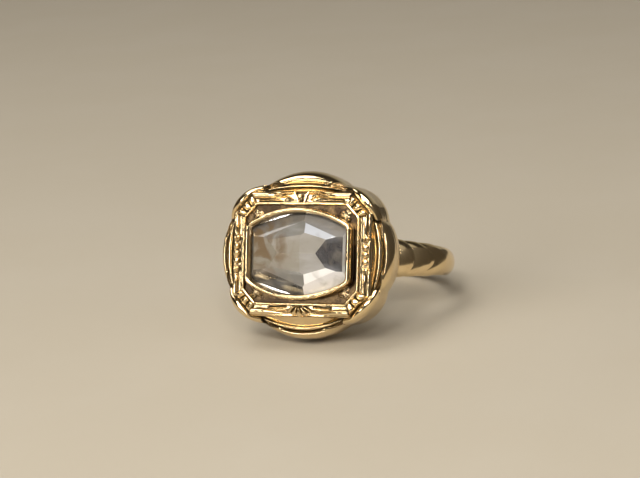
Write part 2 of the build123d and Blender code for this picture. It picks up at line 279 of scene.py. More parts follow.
def bentGrid(stepsAcross, stepsAlong, place):
    # a flat grid whose points, given as two shares from 0 to 1, are moved to where place says
    bm = bmesh.new()
    bmesh.ops.create_grid(bm, x_segments=stepsAcross, y_segments=stepsAlong, size=0.5)
    for vert in bm.verts:
        vert.co = place(vert.co.x + 0.5, vert.co.y + 0.5)
    return bm


def closeBelow(bm, level):
    # turns an open patch of relief into a solid that ends on a flat underside
    made = bmesh.ops.extrude_face_region(bm, geom=list(bm.faces))
    for item in made["geom"]:
        if isinstance(item, bmesh.types.BMVert):
            item.co.z = level
    return bm


def capped(bm):
    # closes the open ends of a tube
    bmesh.ops.remove_doubles(bm, verts=bm.verts, dist=mergeDistance)
    rims = [edge for edge in bm.edges if edge.is_boundary]
    bmesh.ops.holes_fill(bm, edges=rims, sides=0)
    return bm


def addPiece(name, bm, material, sharpAngle=50):
    # a finished mesh in the head's space becomes the visible piece of the node of the same name
    bmesh.ops.remove_doubles(bm, verts=bm.verts, dist=mergeDistance)
    bmesh.ops.recalc_face_normals(bm, faces=bm.faces)
    bm.transform(headToRow)
    mesh = bpy.data.meshes.new(name)
    bm.to_mesh(mesh)
    bm.free()
    mesh.polygons.foreach_set("use_smooth", [True] * len(mesh.polygons))
    mesh.set_sharp_from_angle(angle=radians(sharpAngle))
    mesh.materials.append(material)
    piece = bpy.data.objects.new(name, mesh)
    bpy.context.collection.objects.link(piece)
    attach(piece, "root")
    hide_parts(name)
    return piece


def eased(value, low, high):
    # 0 below low, 1 above high, and a smooth climb between them
    share = min(max((value - low) / (high - low), 0.0), 1.0)
    return share * share * (3 - 2 * share)


def bump(value, centre, width):
    # a soft hill of height 1
    return exp(-(((value - centre) / width) ** 2))


def ridge(x, y, path, width):
    # a raised line along a path of (x, y) corners
    spot = Vector((x, y))
    distances = []
    for start, end in zip(path, path[1:]):
        start, end = Vector(start), Vector(end)
        share = (spot - start).dot(end - start) / (end - start).length_squared
        distances.append((spot - start.lerp(end, min(max(share, 0.0), 1.0))).length)
    return bump(min(distances), 0.0, width)


def roll(value, centre, halfWidth):
    # the height of a half-round strip, 1 at its crown and 0 outside it
    away = (value - centre) / halfWidth
    return sqrt(1 - away * away) if abs(away) < 1 else 0.0


def softened(points, passes):
    # a closed loop of points with its corners worn round
    for _ in range(passes):
        after = points[1:] + points[:1]
        before = points[-1:] + points[:-1]
        points = [point * 0.5 + (a + b) * 0.25 for point, a, b in zip(points, before, after)]
    return points


def cornerCut(points, passes):
    # a closed profile of few points, cut at its corners again and again until it is round
    for _ in range(passes):
        finer = []
        for point, after in zip(points, points[1:] + points[:1]):
            for share in (0.75, 0.25):
                finer.append(tuple(a * share + b * (1 - share) for a, b in zip(point, after)))
        points = finer
    return points


def sweptBand(loop, profile):
    # a profile of (outward, height) carried round a closed loop
    count = len(loop)
    outward = []
    for i in range(count):
        along = loop[(i + 1) % count] - loop[i - 1]
        outward.append(Vector((along.y, -along.x, 0)).normalized())

    def place(share, around):
        i = round(share * count) % count
        out, height = profile[round(around * len(profile)) % len(profile)]
        spot = loop[i] + outward[i] * out
        return Vector((spot.x, spot.y, height))

    return bentGrid(count, len(profile), place)


def arcPoint(share, halfWidth, endHeight, crown):
    # a point of the arc through (-halfWidth, endHeight), (0, crown) and (halfWidth, endHeight)
    rise = crown - endHeight
    if abs(rise) < 0.001:
        return Vector((halfWidth * share, crown, 0))
    radius = (halfWidth**2 + rise**2) / (2 * rise)
    reach = asin(min(halfWidth / radius, 1.0))
    return Vector((radius * sin(reach * share), crown - radius + radius * cos(reach * share), 0))


def turned(point, quarterTurns):
    # anticlockwise about the middle of the head
    for _ in range(quarterTurns):
        point = Vector((-point.y, point.x, point.z))
    return point


def mirrored(point, xSign, ySign):
    return Vector((point.x * xSign, point.y * ySign, point.z))


def anticlockwise(loop):
    # sweptBand takes a loop's outward side to be on the right of the way it runs
    area = sum(loop[i - 1].x * loop[i].y - loop[i].x * loop[i - 1].y for i in range(len(loop)))
    return loop if area > 0 else loop[::-1]


def barrelLoop(halfWidth, arch, side, archSteps=90, sideSteps=44, rounding=14):
    # an outline with two arched long sides and two straight short ones
    loop = [arcPoint(1 - 2 * i / archSteps, halfWidth, side, arch) for i in range(archSteps)]
    loop += [Vector((-halfWidth, side - 2 * side * i / sideSteps, 0)) for i in range(sideSteps)]
    loop += [-point for point in loop]
    return anticlockwise(softened(loop, rounding))


bezelSizes = {
    "halfWidth": 4.42,
    "arch": 3.70,
    "side": 2.30,
    "waver": 0.02,
    # outward from the outer wall, and height: up the wall, over the lip and down to the stone
    "profile": [(0.02, -0.32), (0.02, 0.35), (-0.02, 0.82), (-0.14, 0.97), (-0.32, 0.93), (-0.43, 0.72),
                (-0.46, 0.35), (-0.4, -0.1), (-0.38, -0.32)],
}
bezelLoop = barrelLoop(bezelSizes["halfWidth"], bezelSizes["arch"], bezelSizes["side"])
bezelBand = sweptBand(bezelLoop, cornerCut(bezelSizes["profile"], 3))
for vert in bezelBand.verts:
    vert.co.z += bezelSizes["waver"] * noise.noise(vert.co * 1.7) * eased(vert.co.z, 0.2, 0.8)
addPiece("bezel", bezelBand, polished, sharpAngle=38)

stoneSizes = {
    "outline": (4.10, 3.40, 2.06),
    "crown": 1.15,
    "apex": 0.3,
    "edge": 0.012,
    "outlineSteps": (24, 6, 1),
    "keenAngle": 2.5,
}

# facets right and left of the apex: tilt, drop from the crown, start from the apex and turn,
# then each facet's painted reflection colour, foil light and highlights painted into the base colour, above
# and below the middle
facets = {
    "right": {
        "main": (7.9, 0.0, 0.0, 21, (0.34, 0.32, 0.285), (0.30, 0.285, 0.26)),
        "side": (13, 0.065, 1.3, 90, (0.035, 0.035, 0.042), (0.035, 0.035, 0.042)),
        "rim": (46, 0.553, 3.42, 90, (0.20, 0.20, 0.21), (0.75, 0.75, 0.75)),
        "row": (20.7, 0.2275, 1.75, 18, (0.60, 0.64, 0.72), (1.0, 0.98, 0.97)),
        "skirt": (32, 0.5335, 2.6, 20, (0.22, 0.215, 0.21), (0.88, 0.87, 0.88)),
    },
    "left": {
        "main": (7.9, 0.0, 0.0, 21, (0.31, 0.285, 0.24), (0.27, 0.25, 0.21)),
        "side": (13, 0.095, 1.9, 90, (0.24, 0.215, 0.17), (0.24, 0.215, 0.17)),
        "rim": (46, 0.583, 4.02, 90, (0.16, 0.15, 0.13), (0.16, 0.15, 0.13)),
        "row": (20.3, 0.1924, 1.48, 13.4, (0.19, 0.185, 0.17), (0.17, 0.165, 0.155)),
        "skirt": (32, 0.596, 2.6, 17, (0.13, 0.125, 0.12), (0.03, 0.03, 0.03)),
    },
}


def stonePlanes():
    # each facet's plane as a point, a facing and the facet's painted reflection colour
    planes = []
    for side, xSign in (("right", 1), ("left", -1)):
        for name, (tilt, drop, start, turn, above, below) in facets[side].items():
            for ySign, paintedGleam in ((1, above), (-1, below)):
                azimuth = ySign * radians(90 - xSign * turn)
                lean = sin(radians(tilt))
                facing = Vector((lean * cos(azimuth), lean * sin(azimuth), cos(radians(tilt))))
                offset = Vector((xSign * start, 0, 0)) if turn == 90 else Vector((0, ySign * start, 0))
                spot = Vector((stoneSizes["apex"], 0, stoneSizes["crown"] - drop)) + offset
                planes.append((spot, facing, paintedGleam))
    return planes


def cutStone():
    bm = bmesh.new()
    outline = barrelLoop(*stoneSizes["outline"], *stoneSizes["outlineSteps"])
    base = bm.faces.new([bm.verts.new(point) for point in outline])
    made = bmesh.ops.extrude_face_region(bm, geom=[base])
    for item in made["geom"]:
        if isinstance(item, bmesh.types.BMVert):
            item.co.z = stoneSizes["crown"]
    for spot, facing, _ in stonePlanes():
        geometry = bm.verts[:] + bm.edges[:] + bm.faces[:]
        cut = bmesh.ops.bisect_plane(
            bm, geom=geometry, dist=0.0001, plane_co=spot, plane_no=facing, clear_outer=True
        )  # what lies outside the facet's plane is ground away
        rim = [item for item in cut["geom_cut"] if isinstance(item, bmesh.types.BMEdge)]
        if rim:
            bmesh.ops.contextual_create(bm, geom=rim)
    bmesh.ops.recalc_face_normals(bm, faces=bm.faces)
    keen = [edge for edge in bm.edges if edge.calc_face_angle(0) > radians(stoneSizes["keenAngle"])]
    width = stoneSizes["edge"]
    bmesh.ops.bevel(bm, geom=keen, affect="EDGES", offset=width, segments=1, profile=0.5, material=-1)
    return bm


def paintFacets(piece):
    # each face takes the painted reflection colour of the facet plane that it lies on
    mesh = piece.data
    toHead = headToRow.inverted()
    planes = stonePlanes()
    layer = mesh.color_attributes.new("facetGleam", "FLOAT_COLOR", "CORNER")
    for polygon in mesh.polygons:
        facing = (toHead.to_3x3() @ polygon.normal).normalized()
        centre = toHead @ polygon.center
        fits = []
        for i, (spot, normal, _) in enumerate(planes):
            fits.append((facing.dot(normal) - abs((centre - spot).dot(normal)), i))
        paintedGleam = planes[max(fits)[1]][2]
        for corner in polygon.loop_indices:
            layer.data[corner].color = (*paintedGleam, 1)


paintFacets(addPiece("stone", cutStone(), stoneMaterial, sharpAngle=1.5))
print("stone and bezel made")

octagonSizes = {
    "halfWidth": 4.81,
    "halfHeight": 4.03,
    "sideCut": 2.89,
    "topCut": 3.79,
    "waver": 0.025,
    # outward from the octagon, and height
    "wireProfile": [(-0.13, -0.34), (-0.13, -0.12), (-0.07, 0.05), (0.07, 0.05), (0.13, -0.12),
                    (0.13, -0.34)],
}


def octagonCorners(spread):
    # the octagon's two corners in its upper right quarter, pushed outward by spread
    size = octagonSizes
    cut = Vector((size["halfHeight"] - size["sideCut"], size["halfWidth"] - size["topCut"])).normalized()
    reach = cut.x * size["halfWidth"] + cut.y * size["sideCut"] + spread
    width, height = size["halfWidth"] + spread, size["halfHeight"] + spread
    side = Vector((width, (reach - cut.x * width) / cut.y, 0))
    top = Vector(((reach - cut.y * height) / cut.x, height, 0))
    return side, top


def octagonLoop(spread, perSide, rounding):
    side, top = octagonCorners(spread)
    corners = [side, top, mirrored(top, -1, 1), mirrored(side, -1, 1)]
    corners += [-corner for corner in corners]
    loop = []
    for i, corner in enumerate(corners):
        after = corners[(i + 1) % len(corners)]
        loop += [corner.lerp(after, step / perSide) for step in range(perSide)]
    return anticlockwise(softened(loop, rounding))


wireBand = sweptBand(octagonLoop(0.0, 26, 2), cornerCut(octagonSizes["wireProfile"], 2))
for vert in wireBand.verts:
    vert.co.z += octagonSizes["waver"] * noise.noise(vert.co * 1.3) * eased(vert.co.z, -0.2, 0.0)
addPiece("octagonal_wire", wireBand, polished, sharpAngle=38)

railSizes = {
    "innerSpread": 0.08,
    "outerSpread": 1.0,
    "floor": -0.3,
    "rollCentre": 0.6,
    "rollHeight": 0.38,
    "outerFall": 0.16,
    "wear": 0.012,
    "underside": -0.9,
    "steps": (220, 44),
    # raised lines: height, half width, and corners as (distance from the middle, distance out)
    "upperLines": (
        (0.24, 0.075, ((2.6, 0.66), (1.4, 0.84), (0.62, 0.9))),  # rim that climbs to the palmette
        (0.17, 0.055, ((2.25, 0.42), (1.35, 0.66), (0.8, 0.34))),  # folded leaf
        (0.15, 0.07, ((3.5, 0.24), (2.5, 0.3), (1.7, 0.22))),  # strand beside the wire
    ),
    "lowerLines": (
        (0.16, 0.06, ((2.6, 0.28), (1.9, 0.3), (1.2, 0.22))),  # strand beside the wire
        (0.13, 0.05, ((2.3, 0.5), (1.7, 0.56), (1.15, 0.5))),  # fold beside the roll
    ),
}


def railSpread(across):
    # how far outside the octagon a share of the frame's width lies
    return railSizes["innerSpread"] + (railSizes["outerSpread"] - railSizes["innerSpread"]) * across


def highestLine(lines, away, spread):
    return max(height * ridge(away, spread, path, width) for height, width, path in lines)


def sideRailHeight(spread, along):
    # a spindle that swells into a flower cup on each side of the granules
    away = abs(along)
    swell = 0.15 + 0.13 * bump(away, 1.22, 0.22) + 0.05 * bump(away, 2.15, 0.45)
    present = eased(away, 0.93, 1.03)
    height = railSizes["rollHeight"] * (0.85 + 0.2 * bump(away, 1.25, 0.25) + 0.25 * bump(away, 2.2, 0.5))
    petals = 0.05 * bump(away, 1.2, 0.2) * cos((spread - railSizes["rollCentre"]) * 36)
    level = railSizes["floor"] + present * (height * roll(spread, railSizes["rollCentre"], swell) + petals)
    inner = 0.07 * roll(spread, 0.2, 0.09)
    return level + inner - railSizes["outerFall"] * eased(spread, 0.86, 1.0)


def upperRailHeight(spread, along):
    # a roll at each corner, drawn out into a rim that climbs to the palmette over a folded leaf
    away = abs(along)
    grown = eased(away, 1.5, 2.9)
    corner = 0.36 * grown * roll(spread, 0.66, 0.12 + 0.16 * grown)
    raised = max(corner, highestLine(railSizes["upperLines"], away, spread))
    hollow = 0.08 * bump(away, 1.35, 0.4) * bump(spread, 0.42, 0.16)
    return railSizes["floor"] + raised - hollow - railSizes["outerFall"] * eased(spread, 0.92, 1.0)


def lowerRailHeight(spread, along):
    # a stout roll at each corner that thins out towards the fan, with engraved strands beside it
    away = abs(along)
    grown = eased(away, 1.3, 3.2)
    corner = (0.12 + 0.3 * grown) * roll(spread, 0.74 - 0.12 * grown, 0.08 + 0.2 * grown)
    raised = max(corner, highestLine(railSizes["lowerLines"], away, spread))
    return railSizes["floor"] + raised - railSizes["outerFall"] * eased(spread, 0.92, 1.0)


def railPatch(useTop, quarterTurns, height):
    corner = 1 if useTop else 0

    def place(share, across):
        spread = railSpread(across)
        end = octagonCorners(spread)[corner]
        reach, base = (end.x, end.y) if useTop else (end.y, end.x)
        along = reach * (2 * share - 1)
        wear = railSizes["wear"] * noise.noise(Vector((along * 2, spread * 3, quarterTurns * 7)))
        return turned(Vector((along, base, height(spread, along) + wear)), quarterTurns)

    return closeBelow(bentGrid(*railSizes["steps"], place), railSizes["underside"])


sides = {"upper": 0, "left": 1, "lower": 2, "right": 3}
for side, quarterTurns in sides.items():
    useTop = side in ("upper", "lower")
    shape = {"upper": upperRailHeight, "lower": lowerRailHeight}.get(side, sideRailHeight)
    addPiece(f"rail_{side}", railPatch(useTop, quarterTurns, shape), chased)

granuleSizes = {"radius": 0.31, "pitch": 0.58, "height": -0.16, "outward": 0.6, "knocks": 0.13}
for side, xSign in (("right", 1), ("left", -1)):
    cluster = bmesh.new()
    for step in (-1, 0, 1):
        made = bmesh.ops.create_icosphere(cluster, subdivisions=3, radius=granuleSizes["radius"])
        seed = Vector((step * 3.1, xSign * 5.0, 0))
        for vert in made["verts"]:
            knock = 1 + granuleSizes["knocks"] * noise.noise(vert.co * 4 + seed)
            vert.co = Vector((vert.co.x * 0.92, vert.co.y * 0.95, vert.co.z)) * knock
            across = xSign * (octagonSizes["halfWidth"] + granuleSizes["outward"])
            vert.co += Vector((across, step * granuleSizes["pitch"], granuleSizes["height"]))
    addPiece(f"granules_{side}", cluster, polished, sharpAngle=60)

palmetteSizes = {
    "foot": 0.06,
    "reach": 0.92,
    "floor": -0.34,
    "rise": 0.46,
    "underside": -0.6,
    "petals": 5,
    "halfTurn": 66,
    "flutes": 3,
    "beadAt": 0.62,
    "beadRadius": 0.15,
}


def fanPatch():
    # five petals spread from a narrow foot beside the wire
    halfTurn = palmetteSizes["halfTurn"]

    def place(share, outward):
        turn = halfTurn * (2 * share - 1)
        petal = abs(sin(pi * palmetteSizes["petals"] * share))
        scallop = 0.84 + 0.16 * petal**0.5
        reach = 0.12 + palmetteSizes["reach"] * scallop * (1 - 0.12 * (turn / halfTurn) ** 2) * outward
        rise = palmetteSizes["rise"] * (0.12 + 0.88 * petal**0.6) * (1 - 0.6 * outward**5)
        rise *= eased(outward, -0.25, 0.3)
        y = octagonSizes["halfHeight"] + palmetteSizes["foot"] + reach * cos(radians(turn * 0.93)) - 0.1
        return Vector((reach * 1.32 * sin(radians(turn)), -y, palmetteSizes["floor"] + rise))

    return closeBelow(bentGrid(140, 32, place), palmetteSizes["underside"])


def vasePatch():
    # a fluted vase with a rim and a bead at its mouth
    radius = palmetteSizes["beadRadius"]

    def place(share, outward):
        across = 2 * share - 1
        halfWidth = 0.26 + 0.42 * outward**1.2
        flutes = (0.5 + 0.5 * cos(across * pi * palmetteSizes["flutes"])) * (1 - eased(outward, 0.36, 0.48))
        rim = eased(abs(across), 0.72, 0.86) * (1 - eased(abs(across), 0.94, 1.0))
        mouth = bump(outward, 0.9, 0.07)
        beadAcross = across * halfWidth / radius
        beadAlong = (outward - palmetteSizes["beadAt"]) * 0.95 / radius
        bead = sqrt(max(0.0, 1 - beadAcross**2 - beadAlong**2))
        rise = max(0.05 + 0.2 * flutes, 0.4 * rim, 0.32 * mouth, 0.05 + 0.42 * bead)
        rise *= eased(outward, -0.05, 0.06) * (1 - 0.7 * eased(outward, 0.96, 1.0))
        y = octagonSizes["halfHeight"] + palmetteSizes["foot"] + palmetteSizes["reach"] * outward
        return Vector((across * halfWidth, y, palmetteSizes["floor"] + rise))

    return closeBelow(bentGrid(100, 60, place), palmetteSizes["underside"])


addPiece("palmette_lower", fanPatch(), chased)
addPiece("palmette_upper", vasePatch(), chased)
print("frame rails, granules and palmettes made")

quarters = {"upper_right": (1, 1), "upper_left": (-1, 1), "lower_left": (-1, -1), "lower_right": (1, -1)}
barSizes = {"ribs": 3, "ribCentre": 0.43, "ribHalf": 0.36, "floor": -0.36, "rise": 0.42, "outerFall": 0.2}


def cornerBarPatch(xSign, ySign):
    # three short ribs side by side across the cut corner, with a groove outside them
    def place(share, across):
        spread = railSpread(across)
        side, top = octagonCorners(spread)
        spot = side.lerp(top, share)
        wave = abs(sin(barSizes["ribs"] * pi * share)) ** 0.55
        length = max(0.0, 1 - abs((spread - barSizes["ribCentre"]) / barSizes["ribHalf"]) ** 3.5)
        spot.z = barSizes["floor"] + barSizes["rise"] * wave * sqrt(length)
        spot.z -= barSizes["outerFall"] * eased(spread, 0.78, 0.92)
        spot.z += 0.02 * noise.noise(spot * 2.5)
        return mirrored(spot, xSign, ySign)

    return closeBelow(bentGrid(108, 44, place), railSizes["underside"])


leafSizes = {"centre": (3.74, 3.12), "reach": 0.6, "rise": 0.2, "vein": 0.09, "pointing": 48}


def leafPatch(xSign, ySign):
    # three rounded leaflets with a vein down each
    def place(around, outward):
        turn = 2 * pi * around
        leaflet = 1.5 * (turn - radians(leafSizes["pointing"]))
        reach = leafSizes["reach"] * (0.45 + 0.55 * abs(cos(leaflet)) ** 0.8) * outward
        vein = leafSizes["vein"] * bump(abs(sin(leaflet)), 0.0, 0.22) * outward
        rise = leafSizes["rise"] * sqrt(max(0.0, 1 - outward**3)) - vein
        x, y = leafSizes["centre"]
        spot = Vector((x + reach * cos(turn), y + reach * sin(turn), head["groundLevel"] + rise))
        return mirrored(spot, xSign, ySign)

    return closeBelow(bentGrid(96, 16, place), head["groundLevel"] - 0.05)


lobeSizes = {
    "centre": (3.30, 2.50),
    "radius": 3.13,
    "rightStart": (5.81, 2.85),
    "rightNotch": (6.50, 2.75),
    "upperStart": (3.55, 5.03),
    "upperNotch": (3.40, 5.65),
    "innerSpread": 0.9,
    "inner": -0.42,
    "crown": -0.16,
    "domePower": 2.6,
    "endDrop": 0.62,
    "crownShare": 0.34,
    "roundShare": 0.97,
    "roundDrop": 1.55,
    "steepFrom": 0.8,
    "pace": 0.9,
}


def openPath(points, share):
    # a point at a share of the length of an open path
    lengths = [(end - start).length for start, end in zip(points, points[1:])]
    left = share * sum(lengths)
    for start, end, length in zip(points, points[1:], lengths):
        if left <= length or end is points[-1]:
            return start.lerp(end, min(left / length, 1.0))
        left -= length


def lobeHeight(outward):
    # out of a groove beside the ribs, over a round crown, then steeply down to the rim
    crown, crownShare, roundShare = (lobeSizes[key] for key in ("crown", "crownShare", "roundShare"))
    if outward < crownShare:
        return crown + (lobeSizes["inner"] - crown) * (1 - outward / crownShare) ** 2
    share = (outward - crownShare) / (roundShare - crownShare)
    if share < 1:
        power = lobeSizes["domePower"]
        return crown - lobeSizes["roundDrop"] * (1 - (1 - share**power) ** (1 / power))
    shoulder = crown - lobeSizes["roundDrop"]
    return shoulder + (head["rimLevel"] - shoulder) * (outward - roundShare) / (1 - roundShare)


def lobePoint(turn):
    # a point of a lobe's outer edge
    return Vector((*lobeSizes["centre"], 0)) + Vector((cos(turn), sin(turn), 0)) * lobeSizes["radius"]


def lobePatch(xSign, ySign):
    ends = [Vector((*lobeSizes[key], 0)) for key in ("rightStart", "upperStart")]
    innerPath = [ends[0], *octagonCorners(lobeSizes["innerSpread"]), ends[1]]
    centre = Vector(lobeSizes["centre"])
    notches = [Vector(lobeSizes[key]) - centre for key in ("rightNotch", "upperNotch")]
    low, high = (notch.angle_signed(Vector((1, 0))) for notch in notches)
    steepFrom = lobeSizes["steepFrom"]

    def place(share, across):
        # an even pace out to the steep side, and a closer one down it
        outward = min(across, steepFrom) * (lobeSizes["roundShare"] / lobeSizes["pace"])
        if across >= steepFrom:
            outward = min(1.0, outward + (1 - outward) * (across - steepFrom) / (1 - steepFrom))
        spot = openPath(innerPath, share).lerp(lobePoint(low + (high - low) * share), outward)
        drop = lobeSizes["endDrop"] * (2 * share - 1) ** 2 * (1 - eased(across, steepFrom, 1.0))
        level = lobeHeight(outward) - drop
        spot.z = max(level + 0.015 * noise.noise(spot * 0.9), head["rimLevel"])
        return mirrored(spot, xSign, ySign)

    return closeBelow(bentGrid(110, 80, place), head["rimLevel"] - 0.02)


for quarter, (xSign, ySign) in quarters.items():
    addPiece(f"corner_bar_{quarter}", cornerBarPatch(xSign, ySign), chased)
    addPiece(f"leaf_{quarter}", leafPatch(xSign, ySign), aged)
    addPiece(f"lobe_{quarter}", lobePatch(xSign, ySign), polished, sharpAngle=60)

# base: distance out; ends: half width at the base, then half width and distance out at the notch;
# crowns: how far out each step reaches
lunetteSizes = {
    "upper": {"base": 5.03, "ends": (3.55, 3.40, 5.65), "crowns": (5.42, 5.66, 6.84)},
    "lower": {"base": 5.03, "ends": (3.55, 3.40, 5.65), "crowns": (5.80, 6.15, 6.84)},
    "side": {"base": 5.81, "ends": (2.85, 2.75, 6.50), "crowns": (6.14, 6.62, 7.32)},
    "endShares": (0.0, 0.05, 0.16, 1.0),
    "swell": 0.3,
    "levels": (-0.44, -1.2, -1.13),
    "endDip": 0.14,
    "stretch": 3,
    "leafEdge": ((0.46, 0.06), (0.66, 0.36), (0.82, 0.56), (1.0, 0.66)),
}
stepNames = ("lunette_inner", "lunette_middle", "lunette_outer")


def innerHeight(along, outward):
    # falls away from the frame, barely hollowed
    return lunetteSizes["levels"][0] - 0.62 * outward - 0.03 * sin(pi * outward)


def middleHeight(along, outward):
    # a half-round moulding between two creases
    return lunetteSizes["levels"][1] + 0.36 * roll(outward, 0.5, 0.5) - 0.1 * outward


def leafEdge(away):
    # how far out the leaf at each end reaches, from its tip to its base at the notch
    path = lunetteSizes["leafEdge"]
    for (start, low), (end, high) in zip(path, path[1:]):
        if away <= end:
            return low + (high - low) * max(away - start, 0) / (end - start)
    return path[-1][1]


def outerHeight(along, outward):
    # a pillow with a thin border, and a veined leaf that grows in from the notch at each end
    away = abs(along)
    swell, level, stretch = lunetteSizes["swell"], lunetteSizes["levels"][2], lunetteSizes["stretch"]
    fall = 0.0
    if outward > swell:
        fall = (head["rimLevel"] - level) * (1 - roll(outward, swell, 1 - swell))
    inside = -0.12 * (max(0.0, swell - outward) / swell) ** 2
    tip, tipReach = lunetteSizes["leafEdge"][0]
    border = 0.1 * bump(outward, 0.16, 0.05) - 0.09 * bump(outward, 0.29, 0.035)
    border *= 1 - eased(away, tip, tip + 0.1)
    leaf = 0.0
    if away > tip - 0.05:
        edge = [(x * stretch, y) for x, y in lunetteSizes["leafEdge"]]
        rims = ridge(away * stretch, outward, edge, 0.06)
        rims += ridge(away * stretch, outward, ((tip * stretch, tipReach), (2.9, 0.0)), 0.07)
        veinPath = ((tip * stretch + 0.2, 0.12), (2.4, 0.27), (2.9, 0.33))
        vein = ridge(away * stretch, outward, veinPath, 0.045)
        leaf = 0.15 * rims + 0.1 * vein - 0.2 * eased(leafEdge(away) - outward, -0.03, 0.06)
    return level + fall + inside + border + leaf


def lunettePatch(size, index, quarterTurns, height):
    start = Vector((size["ends"][0], size["base"]))
    notch = Vector(size["ends"][1:])
    crowns = (size["base"],) + size["crowns"]
    innerEnd = start.lerp(notch, lunetteSizes["endShares"][index])
    outerEnd = start.lerp(notch, lunetteSizes["endShares"][index + 1])
    outermost = index == 2

    def place(share, outward):
        along = 2 * share - 1
        spread = sin(outward * pi / 2) if outermost else outward
        inner = arcPoint(along, innerEnd.x, innerEnd.y, crowns[index])
        outer = arcPoint(along, outerEnd.x, outerEnd.y, crowns[index + 1])
        spot = inner.lerp(outer, spread)
        dip = lunetteSizes["endDip"] * eased(abs(along), 0.86, 1.0) * (1 - spread if outermost else 1)
        wear = 0.01 * noise.noise(Vector((along * 5, spread * 2 + index, quarterTurns * 9)))
        spot.z = max(height(along, spread) - dip + wear, head["rimLevel"])
        return turned(spot, quarterTurns)

    return closeBelow(bentGrid(170, 36, place), head["rimLevel"] - 0.02)


for side, quarterTurns in sides.items():
    size = lunetteSizes.get(side, lunetteSizes["side"])
    for index, (stepName, height) in enumerate(zip(stepNames, (innerHeight, middleHeight, outerHeight))):
        patch = lunettePatch(size, index, quarterTurns, height)
        addPiece(f"{stepName}_{side}", patch, polished, sharpAngle=55)
print("border made")

wallSizes = {
    "lobeTurns": (4.6, 87.6),
    "arcSteps": 60,
    "lobeSteps": 50,
    # outward from the border's outline, and height
    "profile": [(-0.9, -2.48), (-0.06, -2.48), (0.0, -2.56), (0.0, -3.3), (-0.03, -3.72), (-0.14, -3.85),
                (-0.5, -3.87), (-0.9, -3.87)],
}


def headLoop():
    # the outline of the border: a lunette's arc and a lobe's, by turns
    def arc(size, quarterTurns):
        halfWidth, endHeight, crown = *size["ends"][1:], size["crowns"][2]
        shares = [1 - 2 * step / wallSizes["arcSteps"] for step in range(wallSizes["arcSteps"])]
        return [turned(arcPoint(share, halfWidth, endHeight, crown), quarterTurns) for share in shares]

    low, high = wallSizes["lobeTurns"]
    steps = wallSizes["lobeSteps"]
    quarter = [lobePoint(radians(low + (high - low) * step / steps)) for step in range(steps)]
    loop = arc(lunetteSizes["side"], sides["right"]) + quarter
    loop += arc(lunetteSizes["upper"], sides["upper"]) + [mirrored(point, -1, 1) for point in quarter[::-1]]
    loop += [-point for point in loop]
    return anticlockwise(softened(loop, 2))


addPiece("head_wall", sweptBand(headLoop(), cornerCut(wallSizes["profile"], 2)), worn)

underSizes = {
    "top": (6.4, 5.6),
    "bottom": (6.3, 2.0),
    "topLevel": -3.84,
    "bottomLevel": -7.0,
    "squareness": 2.9,
    "plateThickness": 0.4,
    "plateHalfTurn": 45.8,
    "wall": 0.4,
    "overlap": 0.02,
}


def underSizeAt(level):
    # the underside narrows along the finger towards the back plate
    share = (underSizes["topLevel"] - level) / (underSizes["topLevel"] - underSizes["bottomLevel"])
    return [a + (b - a) * share for a, b in zip(underSizes["top"], underSizes["bottom"])]


def roundedPoint(turnShare, width, height):
    # a point round a rectangle with round corners
    turn = 2 * pi * turnShare
    x, y = cos(turn), sin(turn)
    power = underSizes["squareness"]
    scale = (abs(x) ** power + abs(y) ** power) ** (-1 / power)
    return Vector((width * x * scale, height * y * scale, 0))


def fingerTop(x, radius):
    # height of a cylinder round the finger above a place across the head
    return -head["wireLevel"] + sqrt(max(radius * radius - x * x, 0.0))


def underPatch():
    plateRadius = head["fingerRadius"] + underSizes["plateThickness"] - underSizes["overlap"]

    def onWall(around, down, inset):
        # the width depends on the height and the height on the width, so a few rounds settle both
        level = underSizes["topLevel"]
        for _ in range(6):
            width, height = underSizeAt(level)
            spot = roundedPoint(around, width - inset, height - inset)
            lowest = fingerTop(spot.x, plateRadius)
            level = underSizes["topLevel"] + (lowest - underSizes["topLevel"]) * down
        return Vector((spot.x, spot.y, level))

    def place(around, share):
        if share <= 0.5:
            return onWall(around, share * 2, 0.0)
        return onWall(around, (1 - share) * 2, underSizes["wall"])

    return bentGrid(200, 48, place)


addPiece("head_underside", underPatch(), worn)


def backPlatePatch():
    # a curved plate that follows the finger, with the underside's outline
    power = underSizes["squareness"]

    def place(share, around):
        turn = radians(underSizes["plateHalfTurn"] * (2 * share - 1))
        outer = around < 0.5
        radius = head["fingerRadius"] + (underSizes["plateThickness"] if outer else 0.0)
        x = radius * sin(turn)
        level = -head["wireLevel"] + radius * cos(turn)
        width, height = underSizeAt(min(level, underSizes["topLevel"]))
        across = min(abs(x) / width, 0.9999)
        reach = height * (1 - across**power) ** (1 / power) + 0.03
        sweep = 1 - 4 * around if outer else 4 * around - 3
        return Vector((x, reach * sweep, level))

    return bentGrid(120, 64, place)


addPiece("head_back_plate", backPlatePatch(), worn)
print("back of the head made")

shankSizes = {
    "thickness": 1.0,
    "backHalfWidth": 0.95,
    "shoulderHalfWidth": 1.57,
    "shoulderAngle": 46.0,
    "edge": 0.12,
    "start": 53.0,
    # degrees round the finger: where each carved edge lies, and how far it runs back at the sides
    "edges": ((42.0, 0.0), (54.0, 5.0), (68.5, 11.0), (84.0, 13.0), (118.0, 0.0)),
    "step": 0.26,
    "stepGap": 0.12,
    "stationCounts": (2, 34, 34, 40),
    "plainStations": 60,
    "rings": 64,
}


def shankHalfWidth(angle):
    back, shoulder = shankSizes["backHalfWidth"], shankSizes["shoulderHalfWidth"]
    away = min((180 - angle) / (180 - shankSizes["shoulderAngle"]), 1.05)
    return back + (shoulder - back) * away**2


